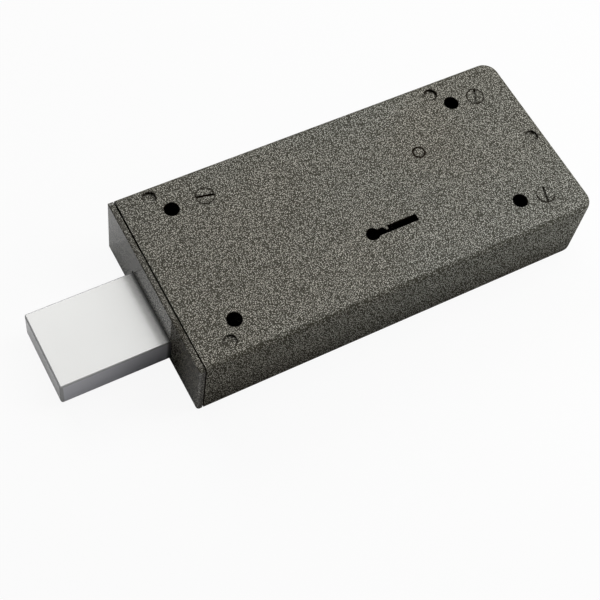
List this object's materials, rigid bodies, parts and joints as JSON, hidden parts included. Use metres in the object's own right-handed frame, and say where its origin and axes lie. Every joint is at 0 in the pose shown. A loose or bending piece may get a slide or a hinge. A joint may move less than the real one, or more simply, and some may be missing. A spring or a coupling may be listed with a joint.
{
  "type": "shutter lock",
  "caption": "Flat rectangular lever lock for a rolling shutter, with a double-throw bar bolt out of one end and a slotted keyhole in the painted cover.",
  "frame": {"origin": "centre of the case's back face, in its plane", "axes": "+Z out of the keyhole face, +X from the bolt end to the closed end (the bolt comes out at -X), +Y across the case, towards the side that the levers' springs bear on"},
  "size_m": [0.208, 0.076, 0.029],
  "materials": {
    "hammer_paint": "olive-grey hammered enamel with a fine worm-like speckle",
    "forend_paint": "the same enamel, smoother and glossier",
    "back_paint": "the same enamel, thin",
    "bolt_nickel": "satin nickel plate",
    "plated_steel": "zinc plate",
    "post_steel": "turned steel",
    "rivet_steel": "riveted over and dressed flush",
    "lever_brass": "rolled brass sheet, stamped",
    "spring_steel": "bright spring strip"
  },
  "bodies": {
    "case": {"cover": "hammer_paint", "back_plate": "back_paint", "forend_plate": "forend_paint", "forend_rivets": "rivet_steel", "bolt_bridge": "plated_steel", "cover_pillars": "plated_steel", "cover_screws": "hammer_paint", "case_posts": "post_steel", "back_screws": "plated_steel", "lever_post": "post_steel", "lower_washer": "lever_brass", "upper_washer": "lever_brass"},
    "bolt": {"bolt_head": "bolt_nickel", "bolt_tail": "plated_steel", "tail_rivets": "rivet_steel", "bolt_stump": "plated_steel"},
    "lever_body_1": {"lever_1": "lever_brass", "lever_spring_1": "spring_steel"},
    "lever_body_2": {"lever_2": "lever_brass", "lever_spring_2": "spring_steel"},
    "lever_body_3": {"lever_3": "lever_brass", "lever_spring_3": "spring_steel"},
    "lever_body_4": {"lever_4": "lever_brass", "lever_spring_4": "spring_steel"},
    "lever_body_5": {"lever_5": "lever_brass", "lever_spring_5": "spring_steel"},
    "lever_body_6": {"lever_6": "lever_brass", "lever_spring_6": "spring_steel"},
    "lever_body_7": {"lever_7": "lever_brass", "lever_spring_7": "spring_steel"},
    "lever_body_8": {"lever_8": "lever_brass", "lever_spring_8": "spring_steel"}
  },
  "joints": [
    {"name": "bolt_slide", "type": "slide", "parent": "case", "child": "bolt", "axis": [1, 0, 0], "range_m": [0, 0.042]},
    {"name": "lever_pivot_1", "type": "hinge", "parent": "case", "child": "lever_body_1", "pos_m": [0.033, 0.0105, 0], "axis": [0, 0, 1], "range_deg": [0, 5]},
    {"name": "lever_pivot_2", "type": "hinge", "parent": "case", "child": "lever_body_2", "pos_m": [0.033, 0.0105, 0], "axis": [0, 0, 1], "range_deg": [0, 5]},
    {"name": "lever_pivot_3", "type": "hinge", "parent": "case", "child": "lever_body_3", "pos_m": [0.033, 0.0105, 0], "axis": [0, 0, 1], "range_deg": [0, 5]},
    {"name": "lever_pivot_4", "type": "hinge", "parent": "case", "child": "lever_body_4", "pos_m": [0.033, 0.0105, 0], "axis": [0, 0, 1], "range_deg": [0, 5]},
    {"name": "lever_pivot_5", "type": "hinge", "parent": "case", "child": "lever_body_5", "pos_m": [0.033, 0.0105, 0], "axis": [0, 0, 1], "range_deg": [0, 5]},
    {"name": "lever_pivot_6", "type": "hinge", "parent": "case", "child": "lever_body_6", "pos_m": [0.033, 0.0105, 0], "axis": [0, 0, 1], "range_deg": [0, 5]},
    {"name": "lever_pivot_7", "type": "hinge", "parent": "case", "child": "lever_body_7", "pos_m": [0.033, 0.0105, 0], "axis": [0, 0, 1], "range_deg": [0, 5]},
    {"name": "lever_pivot_8", "type": "hinge", "parent": "case", "child": "lever_body_8", "pos_m": [0.033, 0.0105, 0], "axis": [0, 0, 1], "range_deg": [0, 5]}
  ]
}
